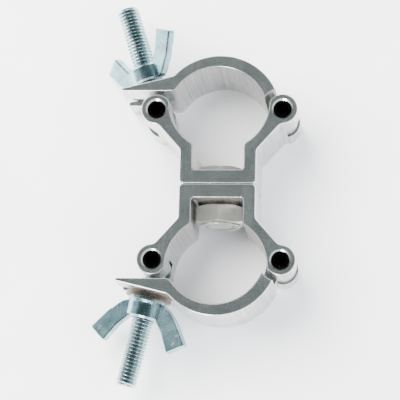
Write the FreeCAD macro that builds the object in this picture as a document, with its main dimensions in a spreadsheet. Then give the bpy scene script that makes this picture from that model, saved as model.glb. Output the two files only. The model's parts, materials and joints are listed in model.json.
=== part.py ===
"""Swivel pipe clamp for 32 to 35 mm tube: two identical hinged clamps, foot to foot on one bolt.

The frame has its origin on the tube axis of clamp a, half way along the clamp's width.
+Z runs along that tube axis and is up when the clamp lies on its side, +Y points from the
swivel joint towards the jaw of clamp a, and +X points from the swing bolts to the hinges.

Every piece of a clamp is drawn in the clamp's own frame: X as above, Y from its foot face
towards its jaw, Z along the tube. Clamp a stands on Y and clamp b is turned half a turn
about X, so one set of functions makes both.
"""

import FreeCAD, Part
import math
import os

import Sketcher

# Driving dimensions in millimetres and degrees: alias, value, what it is.
DIMENSIONS = [
    ("width", 30.0, "width of saddle and jaw along the tube"),
    ("swivel_gap", 0.10, "play between the two feet"),
    ("edge_round", 0.45, "rounding of the sawn end faces"),
    ("foot_half", 13.3, "half width of the foot"),
    ("foot_round", 1.6, "outer corner of the foot"),
    ("floor_thick", 4.9, "thickness of the foot plate"),
    ("channel_half", 8.9, "half width of the channel in the foot"),
    ("channel_round", 0.9, "inner corner of the channel"),
    ("mouth_round", 1.4, "rounding where channel and seat meet"),
    ("bend_height", 12.0, "height where the leg leaves the foot wall"),
    ("bend_round", 2.0, "inside radius of that bend"),
    ("leg_end_x", 22.6, "where the leg runs into its ear"),
    ("leg_end_y", 22.5, "height of that point"),
    ("leg_ear_round", 3.0, "fillet between leg and ear"),
    ("pin_x", 22.0, "pin centre from the swivel axis"),
    ("pin_y", 26.5, "pin centre above the foot face"),
    ("ear_radius", 5.3, "outer radius of the pin ears"),
    ("ear_tip_round", 0.8, "rounding of the ear where it meets the seat"),
    ("seat_radius", 17.5, "radius of seat and jaw, for a 35 mm tube"),
    ("seat_rise", 2.6, "seat centre above the pins"),
    ("jaw_drop", 2.3, "closed jaw's bore centre below the pins"),
    ("jaw_offset", 0.6, "closed jaw's bore centre, from the swivel axis towards the swing bolt"),
    ("slot_width", 8.8, "slot between the two ears of a pair"),
    ("slot_floor_radius", 5.2, "slot floor, measured from the pin"),
    ("pin_radius", 3.0, "outer radius of the spring pin"),
    ("pin_bore_radius", 2.1, "inner radius of the spring pin"),
    ("pin_length", 29.2, "length of the spring pin"),
    ("pin_slit", 0.9, "width of the slit in the spring pin"),
    ("pin_end_chamfer", 0.35, "chamfer of the spring pin's ends"),
    ("running_play", 0.05, "radial play of a knuckle or eye on its pin, and of a nut on its screw"),
    ("hole_chamfer", 0.65, "countersink of the pin holes"),
    ("bolt_hole_radius", 5.25, "swivel bolt hole in each foot"),
    ("jaw_back_radius", 21.6, "outer radius of the jaw"),
    ("jaw_back_shift", 0.6, "outer circle of the jaw, from its bore towards the hinge"),
    ("jaw_knuckle_radius", 4.6, "hinge knuckle of the jaw, and eye of the swing bolt"),
    ("jaw_knuckle_width", 8.4, "width of hinge knuckle and eye"),
    ("jaw_cut_radius", 7.4, "jaw cut back round the hinge ears"),
    ("lug_tip_x", 34.4, "tip of the fork lug"),
    ("lug_under_y", 33.0, "flat underside of the fork lug"),
    ("lug_tip_thick", 1.1, "thickness of the lug at its tip"),
    ("lug_slope", 13.5, "slope of the lug's bearing face, degrees"),
    ("lug_root_round", 2.6, "fillet between lug and jaw back"),
    ("lug_inner_round", 2.5, "fillet between lug underside and jaw bore"),
    ("fork_width", 8.8, "slot in the fork lug"),
    ("fork_end_x", 23.5, "centre of the fork slot's round end"),
    ("screw_radius", 4.0, "M8 thread, major radius"),
    ("screw_length", 43.3, "pin centre to the end of the swing bolt"),
    ("screw_chamfer", 0.9, "chamfer at the end of the swing bolt"),
    ("lean_a", 18.3, "lean of swing bolt a away from the jaw, degrees"),
    ("lean_b", 13.0, "lean of swing bolt b away from the jaw, degrees"),
    ("stack_play", 0.1, "play between lug, washer and wing nut"),
    ("washer_radius", 8.0, "M8 washer"),
    ("washer_hole_radius", 4.2, "M8 washer hole"),
    ("washer_thick", 1.6, "M8 washer"),
    ("wing_turn_a", -45.0, "turn of wing nut a about its screw, degrees"),
    ("wing_turn_b", 20.0, "turn of wing nut b about its screw, degrees"),
    ("nut_flange_radius", 6.9, "base flange of the wing nut"),
    ("nut_flange_thick", 1.8, "base flange of the wing nut"),
    ("nut_hub_radius", 6.3, "hub of the wing nut"),
    ("nut_hub_height", 7.2, "hub of the wing nut"),
    ("nut_hub_chamfer", 0.7, "top chamfer of the hub"),
    ("wing_thick", 3.1, "thickness of a wing"),
    ("wing_root_r", 4.6, "wing's root inside the hub, radius"),
    ("wing_root_low", 0.5, "wing's root, lower end above the base"),
    ("wing_root_high", 5.8, "wing's root, upper end above the base"),
    ("wing_belly_r", 9.0, "lower edge where it leaves the hub, radius"),
    ("wing_belly_y", 1.7, "height of that point"),
    ("wing_belly_round", 7.0, "rounding there"),
    ("wing_bend_r", 14.0, "lower edge half way out, radius"),
    ("wing_bend_y", 6.4, "height of that point"),
    ("wing_bend_round", 12.0, "rounding there"),
    ("wing_outer_r", 19.0, "outer corner of the square tip, radius"),
    ("wing_outer_y", 13.3, "height of that corner"),
    ("wing_inner_r", 12.8, "inner corner of the square tip, radius"),
    ("wing_inner_y", 17.2, "height of that corner"),
    ("wing_tip_round", 0.7, "rounding of the tip's corners"),
    ("wing_throat_r", 8.9, "upper edge near the hub, radius"),
    ("wing_throat_y", 10.6, "height of that point"),
    ("wing_throat_round", 9.0, "rounding there"),
    ("wing_edge_round", 0.55, "rounding of a wing's edges"),
    ("pivot_radius", 5.0, "M10 swivel bolt, major radius"),
    ("pivot_end_y", 12.3, "end of the swivel bolt above foot b"),
    ("hex_across_flats", 16.0, "swivel bolt head and lock nut"),
    ("head_height", 3.2, "low head of the swivel bolt"),
    ("hex_chamfer_radius", 7.6, "round top that the hex chamfer leaves"),
    ("hex_chamfer_drop", 0.7, "drop of the hex chamfer at the corners"),
    ("nut_washer_radius", 7.9, "washer that clears the rounded corners of the channel"),
    ("nut_washer_hole_radius", 5.25, "hole for the swivel bolt"),
    ("nut_washer_thick", 0.6, "thin washer"),
    ("lock_nut_hex", 6.3, "hexagon height of the lock nut"),
    ("lock_nut_height", 7.0, "whole height of the lock nut"),
    ("collar_radius", 7.3, "collar of the lock nut"),
    ("collar_round", 0.6, "rolled rim of the collar"),
    ("insert_radius", 6.3, "outer radius of the nylon ring"),
    ("insert_height", 1.8, "height of the nylon ring"),
    ("collar_lip", 0.4, "crimped lip over the nylon ring"),
    ("collar_opening", 5.7, "opening in that lip"),
]

SHEET = "Dims"
NUDGE = 1.0  # how far a cutting outline runs past the material
TOUCH = 1e-3  # two lengths closer than this are the same
CLAMPS = ("a", "b")


def add_sheet(doc):
    """Write the driving dimensions to a spreadsheet, one alias each."""
    sheet = doc.addObject("Spreadsheet::Sheet", SHEET)
    for row, (alias, value, meaning) in enumerate(DIMENSIONS, start=1):
        sheet.set(f"A{row}", meaning)
        sheet.set(f"B{row}", str(value))
        sheet.setAlias(f"B{row}", alias)
    doc.recompute()
    return sheet


def of(alias):
    """The expression that reads one alias."""
    return f"{SHEET}.{alias}"


# ---------------------------------------------------------------- sketches and features


def origin_plane(body, role):
    return next(f for f in body.Origin.OriginFeatures if f.Role == role)


def new_sketch(body, name, plane="XY_Plane"):
    """A sketch on one of the body's own origin planes."""
    sketch = body.newObject("Sketcher::SketchObject", name)
    sketch.AttachmentSupport = [(origin_plane(body, plane), "")]
    sketch.MapMode = "FlatFace"
    return sketch


def bind(sketch, constraint, expression):
    """Add a dimension to a sketch and bind it to an expression."""
    index = sketch.addConstraint(constraint)
    sketch.setExpression(f"Constraints[{index}]", expression)


def pin_point(sketch, geometry, vertex, x, y):
    """Hold a sketch point at the expressions x and y, measured from the origin."""
    across = float(sketch.evalExpression(x))
    up = float(sketch.evalExpression(y))
    bind(sketch, Sketcher.Constraint("DistanceX", -1, 1, geometry, vertex, across), x)
    bind(sketch, Sketcher.Constraint("DistanceY", -1, 1, geometry, vertex, up), y)


def add_polygon(sketch, corners):
    """Closed outline through corners, each a pair of expressions."""
    points = [FreeCAD.Vector(*(float(sketch.evalExpression(e)) for e in pair), 0) for pair in corners]
    lines = []
    for start, end in zip(points, points[1:] + points[:1]):
        lines.append(sketch.addGeometry(Part.LineSegment(start, end)))
    for line, following in zip(lines, lines[1:] + lines[:1]):
        sketch.addConstraint(Sketcher.Constraint("Coincident", line, 2, following, 1))
    for line, (x, y) in zip(lines, corners):
        pin_point(sketch, line, 1, x, y)


def add_circle(sketch, x, y, radius):
    """Circle whose centre and radius are expressions."""
    values = [float(sketch.evalExpression(e)) for e in (x, y, radius)]
    centre = FreeCAD.Vector(values[0], values[1], 0)
    circle = sketch.addGeometry(Part.Circle(centre, FreeCAD.Vector(0, 0, 1), values[2]))
    pin_point(sketch, circle, 3, x, y)
    bind(sketch, Sketcher.Constraint("Radius", circle, values[2]), radius)


def volume(body):
    body.Document.recompute()
    return body.Shape.Volume if not body.Shape.isNull() else 0.0


def extrude(body, kind, sketch, length, name, symmetric=True, reverse=False):
    """Pad or Pocket a sketch by an expression, and make sure that it changed the solid."""
    before = volume(body) if body.Tip else 0.0
    feature = body.newObject(f"PartDesign::{kind}", name)
    feature.Profile = sketch
    feature.SideType = "Symmetric" if symmetric else "One side"
    feature.Reversed = reverse
    feature.setExpression("Length", length)
    sketch.Visibility = False
    after = volume(body)
    if abs(after - before) < TOUCH:
        raise RuntimeError(f"{body.Label}: {name} changed nothing")
    return feature


def spin(body, kind, sketch, name):
    """Revolve or groove a sketch a full turn about its vertical axis."""
    before = volume(body) if body.Tip else 0.0
    feature = body.newObject(f"PartDesign::{kind}", name)
    feature.Profile = sketch
    feature.ReferenceAxis = (sketch, ["V_Axis"])
    feature.Angle = 360
    sketch.Visibility = False
    if abs(volume(body) - before) < TOUCH:
        raise RuntimeError(f"{body.Label}: {name} changed nothing")
    return feature


def dress(body, kind, names, size, name):
    """Fillet or Chamfer the named edges or faces of the body's tip."""
    if not names:
        raise RuntimeError(f"{body.Label}: nothing to dress for {name}")
    tip = body.Tip
    feature = body.newObject(f"PartDesign::{kind}", name)
    feature.Base = (tip, names)
    feature.setExpression("Radius" if kind == "Fillet" else "Size", size)
    body.Document.recompute()
    return feature


def edges_along_z(body, points, reach=0.15):
    """Names of the straight edges parallel to Z that pass through the given X, Y points."""
    names = []
    for number, edge in enumerate(body.Tip.Shape.Edges, start=1):
        ends = [v.Point for v in edge.Vertexes]
        if len(ends) != 2 or math.hypot(ends[0].x - ends[1].x, ends[0].y - ends[1].y) > TOUCH:
            continue
        if any(math.hypot(ends[0].x - x, ends[0].y - y) < reach for x, y in points):
            names.append(f"Edge{number}")
    return names


def faces_at_z(body, height):
    """Names of the flat faces that lie at the given height, and at its opposite."""
    names = []
    for number, face in enumerate(body.Tip.Shape.Faces, start=1):
        box = face.BoundBox
        if box.ZLength < TOUCH and abs(abs(box.ZMin) - height) < TOUCH:
            names.append(f"Face{number}")
    return names


def rim_edges_beyond(body, height, distance):
    """Names of the edges at +height or -height in Z that lie beyond a distance from the Y axis."""
    names = []
    for number, edge in enumerate(body.Tip.Shape.Edges, start=1):
        box = edge.BoundBox
        nearest = min(abs(box.XMin), abs(box.XMax))
        if box.ZLength < TOUCH and abs(abs(box.ZMin) - height) < TOUCH and nearest > distance:
            names.append(f"Edge{number}")
    return names


def circles_at(body, radius, reach=TOUCH, where=lambda centre: True):
    """Names of the full circular edges of one radius whose centre passes the test."""
    names = []
    for number, edge in enumerate(body.Tip.Shape.Edges, start=1):
        curve = edge.Curve
        if not isinstance(curve, Part.Circle) or abs(curve.Radius - radius) > reach:
            continue
        if where(curve.Center):
            names.append(f"Edge{number}")
    return names


def both_sides(points):
    """The points and their mirror images across the swivel axis."""
    return points + [(-x, y) for x, y in points]


# ---------------------------------------------------------------- the cast and sawn pieces


def seat_corner(sheet):
    """Where the seat circle cuts the channel wall, on the hinge side."""
    centre = sheet.pin_y + sheet.seat_rise
    half = sheet.channel_half
    return half, centre - math.sqrt(sheet.seat_radius**2 - half**2)


def leg_meets_ear(sheet):
    """Where the sloping underside of the leg runs into the ear circle."""
    start = FreeCAD.Vector(sheet.foot_half, sheet.bend_height, 0)
    along = FreeCAD.Vector(sheet.leg_end_x, sheet.leg_end_y, 0) - start
    along.normalize()
    to_pin = FreeCAD.Vector(sheet.pin_x, sheet.pin_y, 0) - start
    nearest = to_pin.dot(along)
    offset_squared = to_pin.Length**2 - nearest**2
    hit = start + along * (nearest - math.sqrt(sheet.ear_radius**2 - offset_squared))
    return hit.x, hit.y


def ear_meets_seat(sheet):
    """Where the top of the ear circle runs out at the seat circle."""
    between = math.hypot(sheet.pin_x, sheet.seat_rise)
    along = (sheet.ear_radius**2 - sheet.seat_radius**2 + between**2) / (2 * between)
    across = math.sqrt(sheet.ear_radius**2 - along**2)
    unit_x, unit_y = -sheet.pin_x / between, sheet.seat_rise / between
    x = sheet.pin_x + along * unit_x + across * unit_y
    y = sheet.pin_y + along * unit_y - across * unit_x
    return x, y


def make_saddle(doc, sheet, name):
    """Foot, channel, legs and four pin ears, sawn from one extrusion."""
    body = doc.addObject("PartDesign::Body", name)
    foot, bend = of("foot_half"), of("bend_height")
    leg_x, leg_y = of("leg_end_x"), of("leg_end_y")
    pin_x, pin_y = of("pin_x"), of("pin_y")
    seat_y = f"{pin_y} + {of('seat_rise')}"

    outline = new_sketch(body, f"{name}_outline")
    right = [(foot, "0"), (foot, bend), (leg_x, leg_y), (pin_x, pin_y), (of("seat_radius"), pin_y)]
    left = [(f"-{x}", y) for x, y in reversed(right)]
    add_polygon(outline, right + left)
    extrude(body, "Pad", outline, of("width"), f"{name}_block")

    ears = new_sketch(body, f"{name}_ears")
    for x in (pin_x, f"-{pin_x}"):
        add_circle(ears, x, pin_y, of("ear_radius"))
    extrude(body, "Pad", ears, of("width"), f"{name}_ear_pad")

    channel = new_sketch(body, f"{name}_channel")
    half, floor = of("channel_half"), of("floor_thick")
    add_polygon(channel, [(f"-{half}", floor), (half, floor), (half, seat_y), (f"-{half}", seat_y)])
    extrude(body, "Pocket", channel, of("width"), f"{name}_channel_cut")

    seat = new_sketch(body, f"{name}_seat")
    add_circle(seat, "0", seat_y, of("seat_radius"))
    extrude(body, "Pocket", seat, of("width"), f"{name}_seat_cut")

    rounds = [
        ("foot_round", [(sheet.foot_half, 0.0)]),
        ("channel_round", [(sheet.channel_half, sheet.floor_thick)]),
        ("bend_round", [(sheet.foot_half, sheet.bend_height)]),
        ("mouth_round", [seat_corner(sheet)]),
        ("leg_ear_round", [leg_meets_ear(sheet)]),
        ("ear_tip_round", [ear_meets_seat(sheet)]),
    ]
    for alias, points in rounds:
        edges = edges_along_z(body, both_sides(points))
        dress(body, "Fillet", edges, of(alias), f"{name}_{alias}")
    dress(body, "Fillet", faces_at_z(body, sheet.width / 2), of("edge_round"), f"{name}_sawn_edges")

    inner = f"{pin_x} - {of('slot_floor_radius')}"
    low = f"{pin_y} - {of('slot_floor_radius')}"
    outer = f"{pin_x} + {of('ear_radius')} + {NUDGE}"
    high = f"{pin_y} + {of('ear_radius')} + {NUDGE}"
    # Each slot is open above its pin and outwards, with a round floor under the pin.
    corners = [(inner, pin_y), (inner, high), (outer, high), (outer, low), (pin_x, low), (pin_x, pin_y)]
    for side, sign in (("hinge", ""), ("bolt", "-")):
        slot = new_sketch(body, f"{name}_{side}_slot")
        add_polygon(slot, [(f"{sign}({x})", y) for x, y in corners])
        extrude(body, "Pocket", slot, of("slot_width"), f"{name}_{side}_slot_cut")
    floors = new_sketch(body, f"{name}_slot_floors")
    for x in (pin_x, f"-{pin_x}"):
        add_circle(floors, x, pin_y, of("slot_floor_radius"))
    extrude(body, "Pocket", floors, of("slot_width"), f"{name}_slot_floor_cut")

    holes = new_sketch(body, f"{name}_pin_holes")
    for x in (pin_x, f"-{pin_x}"):
        add_circle(holes, x, pin_y, of("pin_radius"))
    extrude(body, "Pocket", holes, of("width"), f"{name}_pin_hole_cut")
    mouths = circles_at(body, sheet.pin_radius, where=lambda c: abs(abs(c.z) - sheet.width / 2) < TOUCH)
    dress(body, "Chamfer", mouths, of("hole_chamfer"), f"{name}_pin_hole_mouths")

    bolt_hole = new_sketch(body, f"{name}_bolt_hole", "XZ_Plane")
    add_circle(bolt_hole, "0", "0", of("bolt_hole_radius"))
    extrude(body, "Pocket", bolt_hole, f"2 * {floor} + {NUDGE}", f"{name}_bolt_hole_cut")
    return body


def lug_top(sheet, x):
    """Height of the lug's bearing face at x, before its fillet."""
    rise = (x + sheet.lug_tip_x) * math.tan(math.radians(sheet.lug_slope))
    return sheet.lug_under_y + sheet.lug_tip_thick + rise


def lug_meets_back(sheet):
    """Where the lug's bearing face runs into the back circle of the jaw."""
    slope = math.tan(math.radians(sheet.lug_slope))
    centre_x, centre_y = sheet.jaw_back_shift - sheet.jaw_offset, sheet.pin_y - sheet.jaw_drop
    offset = lug_top(sheet, centre_x) - centre_y
    a = 1 + slope**2
    b = 2 * slope * offset
    c = offset**2 - sheet.jaw_back_radius**2
    x = (-b - math.sqrt(b * b - 4 * a * c)) / (2 * a) + centre_x
    return x, lug_top(sheet, x)


def lug_meets_bore(sheet):
    """Where the lug's underside runs into the bore circle of the jaw."""
    rise = sheet.lug_under_y - (sheet.pin_y - sheet.jaw_drop)
    return -sheet.jaw_offset - math.sqrt(sheet.seat_radius**2 - rise**2), sheet.lug_under_y


def make_jaw(doc, sheet, name):
    """Curved jaw with a fork lug on the bolt side and one knuckle on the hinge side."""
    body = doc.addObject("PartDesign::Body", name)
    pin_x, pin_y = of("pin_x"), of("pin_y")
    centre_x, centre_y = f"-{of('jaw_offset')}", f"{pin_y} - {of('jaw_drop')}"
    under, tip = of("lug_under_y"), of("lug_tip_x")

    back = new_sketch(body, f"{name}_back")
    add_circle(back, f"{of('jaw_back_shift')} - {of('jaw_offset')}", centre_y, of("jaw_back_radius"))
    extrude(body, "Pad", back, of("width"), f"{name}_disc")

    lug = new_sketch(body, f"{name}_lug")
    tip_top = f"{under} + {of('lug_tip_thick')}"
    root_top = f"{tip_top} + {tip} * tan({of('lug_slope')} * 1 deg)"
    add_polygon(lug, [(f"-{tip}", under), ("0", under), ("0", root_top), (f"-{tip}", tip_top)])
    extrude(body, "Pad", lug, of("width"), f"{name}_lug_pad")

    bore = new_sketch(body, f"{name}_bore")
    add_circle(bore, centre_x, centre_y, of("seat_radius"))
    extrude(body, "Pocket", bore, of("width"), f"{name}_bore_cut")

    past = f"{tip} + {NUDGE}"
    below = f"{centre_y} - {of('jaw_back_radius')} - {NUDGE}"
    lower = new_sketch(body, f"{name}_lower_half")
    step = [(f"-({past})", under), ("0", under), ("0", pin_y), (past, pin_y)]
    add_polygon(lower, step + [(past, below), (f"-({past})", below)])
    extrude(body, "Pocket", lower, of("width"), f"{name}_lower_half_cut")

    rounds = [
        ("lug_root_round", [lug_meets_back(sheet)]),
        ("lug_inner_round", [lug_meets_bore(sheet)]),
    ]
    for alias, points in rounds:
        dress(body, "Fillet", edges_along_z(body, points), of(alias), f"{name}_{alias}")

    # The jaw stops short of the outer ears, and only its middle reaches the pin.
    cheek = f"({of('width')} - {of('jaw_knuckle_width')}) / 2"
    for side, sign in (("front", 1), ("rear", -1)):
        ear_room = new_sketch(body, f"{name}_{side}_ear_room")
        ear_room.setExpression(
            "AttachmentOffset.Base.z", f"{sign} * ({of('width')} / 2 - {cheek} / 2)"
        )
        add_circle(ear_room, pin_x, pin_y, of("jaw_cut_radius"))
        extrude(body, "Pocket", ear_room, cheek, f"{name}_{side}_ear_room_cut")

    dress(body, "Fillet", faces_at_z(body, sheet.width / 2), of("edge_round"), f"{name}_sawn_edges")

    knuckle = new_sketch(body, f"{name}_knuckle")
    add_circle(knuckle, pin_x, pin_y, of("jaw_knuckle_radius"))
    extrude(body, "Pad", knuckle, of("jaw_knuckle_width"), f"{name}_knuckle_pad")

    hole = new_sketch(body, f"{name}_pin_hole")
    add_circle(hole, pin_x, pin_y, f"{of('pin_radius')} + {of('running_play')}")
    extrude(body, "Pocket", hole, of("width"), f"{name}_pin_hole_cut")

    fork = new_sketch(body, f"{name}_fork", "XZ_Plane")
    half, end = f"{of('fork_width')} / 2", of("fork_end_x")
    near, far = f"-{end}", f"-({past})"
    add_polygon(fork, [(far, f"-{half}"), (near, f"-{half}"), (near, half), (far, half)])
    reach = f"2 * ({root_top} + {NUDGE})"
    extrude(body, "Pocket", fork, reach, f"{name}_fork_cut")
    fork_end = new_sketch(body, f"{name}_fork_end", "XZ_Plane")
    add_circle(fork_end, near, "0", half)
    extrude(body, "Pocket", fork_end, reach, f"{name}_fork_end_cut")
    return body


# ---------------------------------------------------------------- pins, screws and nuts


def make_spring_pin(doc, sheet, name):
    """Slit steel sleeve that stays tight in the ears; the knuckle or eye turns on it."""
    body = doc.addObject("PartDesign::Body", name)
    ring = new_sketch(body, f"{name}_ring")
    add_circle(ring, "0", "0", of("pin_radius"))
    add_circle(ring, "0", "0", of("pin_bore_radius"))
    extrude(body, "Pad", ring, of("pin_length"), f"{name}_sleeve")
    ends = circles_at(body, sheet.pin_radius)
    dress(body, "Chamfer", ends, of("pin_end_chamfer"), f"{name}_end_chamfers")
    slit = new_sketch(body, f"{name}_slit")
    half, far = f"{of('pin_slit')} / 2", f"{of('pin_radius')} + {NUDGE}"
    add_polygon(slit, [(f"-{half}", "0"), (half, "0"), (half, far), (f"-{half}", far)])
    extrude(body, "Pocket", slit, of("width"), f"{name}_slit_cut")
    return body


def make_eyebolt(doc, sheet, name):
    """M8 swing bolt: an eye on the pin at the origin and a screw along +Y."""
    body = doc.addObject("PartDesign::Body", name)
    eye = new_sketch(body, f"{name}_eye")
    add_circle(eye, "0", "0", of("jaw_knuckle_radius"))
    extrude(body, "Pad", eye, of("jaw_knuckle_width"), f"{name}_eye_pad")
    shank = new_sketch(body, f"{name}_shank", "XZ_Plane")
    add_circle(shank, "0", "0", of("screw_radius"))
    extrude(body, "Pad", shank, of("screw_length"), f"{name}_screw", symmetric=False, reverse=True)
    end = circles_at(body, sheet.screw_radius, where=lambda c: c.y > sheet.screw_length - NUDGE)
    dress(body, "Chamfer", end, of("screw_chamfer"), f"{name}_end_chamfer")
    hole = new_sketch(body, f"{name}_hole")
    add_circle(hole, "0", "0", f"{of('pin_radius')} + {of('running_play')}")
    extrude(body, "Pocket", hole, of("width"), f"{name}_hole_cut")
    return body


def make_ring(doc, name, radius, hole_radius, thick):
    """Flat ring whose lower face is at the origin, from three expressions."""
    body = doc.addObject("PartDesign::Body", name)
    ring = new_sketch(body, f"{name}_ring", "XZ_Plane")
    add_circle(ring, "0", "0", radius)
    add_circle(ring, "0", "0", hole_radius)
    extrude(body, "Pad", ring, thick, f"{name}_disc", symmetric=False, reverse=True)
    return body


def make_washer(doc, name, size):
    """Flat washer; size is the start of its three aliases."""
    return make_ring(doc, name, of(f"{size}_radius"), of(f"{size}_hole_radius"), of(f"{size}_thick"))


# Corners of one wing: alias of radius, alias of height above the base, alias of its rounding.
WING_OUTLINE = [
    ("wing_root_r", "wing_root_low", None),
    ("wing_belly_r", "wing_belly_y", "wing_belly_round"),
    ("wing_bend_r", "wing_bend_y", "wing_bend_round"),
    ("wing_outer_r", "wing_outer_y", "wing_tip_round"),
    ("wing_inner_r", "wing_inner_y", "wing_tip_round"),
    ("wing_throat_r", "wing_throat_y", "wing_throat_round"),
    ("wing_root_r", "wing_root_high", None),
]


def make_wing_nut(doc, sheet, name):
    """M8 wing nut: a round hub along +Y from the origin, and two square-ended wings."""
    body = doc.addObject("PartDesign::Body", name)
    hub = new_sketch(body, f"{name}_hub")
    bore = f"{of('screw_radius')} + {of('running_play')}"
    flange, step = of("nut_flange_radius"), of("nut_flange_thick")
    radius, top, bevel = of("nut_hub_radius"), of("nut_hub_height"), of("nut_hub_chamfer")
    add_polygon(
        hub,
        [
            (bore, "0"),
            (flange, "0"),
            (flange, f"{step} / 2"),
            (radius, step),
            (radius, f"{top} - {bevel}"),
            (f"{radius} - {bevel}", top),
            (bore, top),
        ],
    )
    spin(body, "Revolution", hub, f"{name}_hub_turn")

    wing = new_sketch(body, f"{name}_wing")
    add_polygon(wing, [(of(radius), of(height)) for radius, height, _ in WING_OUTLINE])
    pad = extrude(body, "Pad", wing, of("wing_thick"), f"{name}_wing_pad")
    mirror = body.newObject("PartDesign::Mirrored", f"{name}_other_wing")
    mirror.Originals = [pad]
    mirror.MirrorPlane = (origin_plane(body, "YZ_Plane"), [""])
    body.Tip = mirror
    doc.recompute()
    for radius, height, rounding in WING_OUTLINE:
        if rounding:
            corner = (getattr(sheet, radius), getattr(sheet, height))
            edges = edges_along_z(body, both_sides([corner]))
            dress(body, "Fillet", edges, of(rounding), f"{name}_{radius}_{rounding}")
    rims = rim_edges_beyond(body, sheet.wing_thick / 2, sheet.nut_flange_radius)
    dress(body, "Fillet", rims, of("wing_edge_round"), f"{name}_edges")
    return body


def hexagon(half_flats):
    """Corners of a hexagon in the XZ plane with two flats facing +X and -X."""
    far = f"({half_flats}) / cos(30 deg)"
    turns = [30 + 60 * n for n in range(6)]
    return [(f"({far}) * cos({t} deg)", f"({far}) * sin({t} deg)") for t in turns]


def bevel_hexagon(body, name, height, downwards):
    """Cut the hexagon's corners back to a cone at one end, as turning does."""
    groove = new_sketch(body, name)
    rim, drop = of("hex_chamfer_radius"), of("hex_chamfer_drop")
    far = f"{of('hex_across_flats')} / 2 / cos(30 deg)"
    sign = "+" if downwards else "-"
    beyond = f"{far} + {NUDGE}"
    fall = f"{drop} * ({beyond} - {rim}) / ({far} - {rim})"
    add_polygon(groove, [(rim, height), (beyond, height), (beyond, f"{height} {sign} {fall}")])
    spin(body, "Groove", groove, f"{name}_cut")


def make_swivel_bolt(doc, sheet, name):
    """M10 bolt in the frame of clamp a: a low hex head in the channel, the screw along -Y."""
    body = doc.addObject("PartDesign::Body", name)
    floor = of("floor_thick")
    head_top = f"({floor} + {of('head_height')})"
    head = new_sketch(body, f"{name}_head", "XZ_Plane")
    head.setExpression("AttachmentOffset.Base.z", f"-{floor}")
    add_polygon(head, hexagon(f"{of('hex_across_flats')} / 2"))
    extrude(body, "Pad", head, of("head_height"), f"{name}_head_pad", symmetric=False, reverse=True)
    bevel_hexagon(body, f"{name}_bevel", head_top, downwards=False)
    screw = new_sketch(body, f"{name}_screw", "XZ_Plane")
    screw.setExpression("AttachmentOffset.Base.z", f"-{floor}")
    add_circle(screw, "0", "0", of("pivot_radius"))
    length = f"{floor} + {of('pivot_end_y')} + {of('swivel_gap')}"
    extrude(body, "Pad", screw, length, f"{name}_screw_pad", symmetric=False)
    end = circles_at(body, sheet.pivot_radius, where=lambda c: c.y < 0)
    dress(body, "Chamfer", end, of("screw_chamfer"), f"{name}_end_chamfer")
    return body


def make_lock_nut(doc, sheet, name):
    """Hex lock nut whose bearing face is at the origin, with a groove for its nylon ring."""
    body = doc.addObject("PartDesign::Body", name)
    hex_top, top = of("lock_nut_hex"), of("lock_nut_height")
    flats = new_sketch(body, f"{name}_flats", "XZ_Plane")
    add_polygon(flats, hexagon(f"{of('hex_across_flats')} / 2"))
    extrude(body, "Pad", flats, hex_top, f"{name}_hexagon", symmetric=False, reverse=True)
    bevel_hexagon(body, f"{name}_lower_bevel", "0", downwards=True)
    bevel_hexagon(body, f"{name}_upper_bevel", hex_top, downwards=False)
    collar = new_sketch(body, f"{name}_collar", "XZ_Plane")
    add_circle(collar, "0", "0", of("collar_radius"))
    extrude(body, "Pad", collar, top, f"{name}_collar_pad", symmetric=False, reverse=True)
    rim = circles_at(body, sheet.collar_radius, where=lambda c: c.y > sheet.lock_nut_hex + TOUCH)
    dress(body, "Fillet", rim, of("collar_round"), f"{name}_rolled_rim")
    opening = new_sketch(body, f"{name}_opening")
    bore = f"{of('pivot_radius')} + {of('running_play')}"
    ring_top = f"{top} - {of('collar_lip')}"
    ring_foot = f"{ring_top} - {of('insert_height')}"
    add_polygon(
        opening,
        [
            ("0", f"-{NUDGE}"),
            (bore, f"-{NUDGE}"),
            (bore, ring_foot),
            (of("insert_radius"), ring_foot),
            (of("insert_radius"), ring_top),
            (of("collar_opening"), ring_top),
            (of("collar_opening"), f"{top} + {NUDGE}"),
            ("0", f"{top} + {NUDGE}"),
        ],
    )
    spin(body, "Groove", opening, f"{name}_opening_cut")
    return body


# ---------------------------------------------------------------- placing the pieces


def along_y(distance):
    return FreeCAD.Placement(FreeCAD.Vector(0, distance, 0), FreeCAD.Rotation())


def clamp_frame(sheet, clamp):
    """Placement of a clamp's own frame: foot face at half the swivel gap, jaw outwards."""
    seat = sheet.swivel_gap / 2 + sheet.pin_y + sheet.seat_rise
    swivel = FreeCAD.Placement(FreeCAD.Vector(0, -seat, 0), FreeCAD.Rotation())
    turn = 0 if clamp == "a" else 180
    half_turn = FreeCAD.Placement(FreeCAD.Vector(), FreeCAD.Rotation(FreeCAD.Vector(1, 0, 0), turn))
    return swivel.multiply(half_turn).multiply(along_y(sheet.swivel_gap / 2))


def at_pin(sheet, side):
    """Placement at the hinge pin (side 1) or the swing bolt's pin (side -1)."""
    return FreeCAD.Placement(FreeCAD.Vector(side * sheet.pin_x, sheet.pin_y, 0), FreeCAD.Rotation())


def along_screw(sheet, lean, distance, turn=0.0):
    """Placement on the swing bolt's axis, distance from its pin, turned about the axis."""
    tilt = FreeCAD.Placement(FreeCAD.Vector(), FreeCAD.Rotation(FreeCAD.Vector(0, 0, 1), lean))
    spun = FreeCAD.Placement(FreeCAD.Vector(0, distance, 0), FreeCAD.Rotation(FreeCAD.Vector(0, 1, 0), turn))
    return at_pin(sheet, -1).multiply(tilt).multiply(spun)


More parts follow.
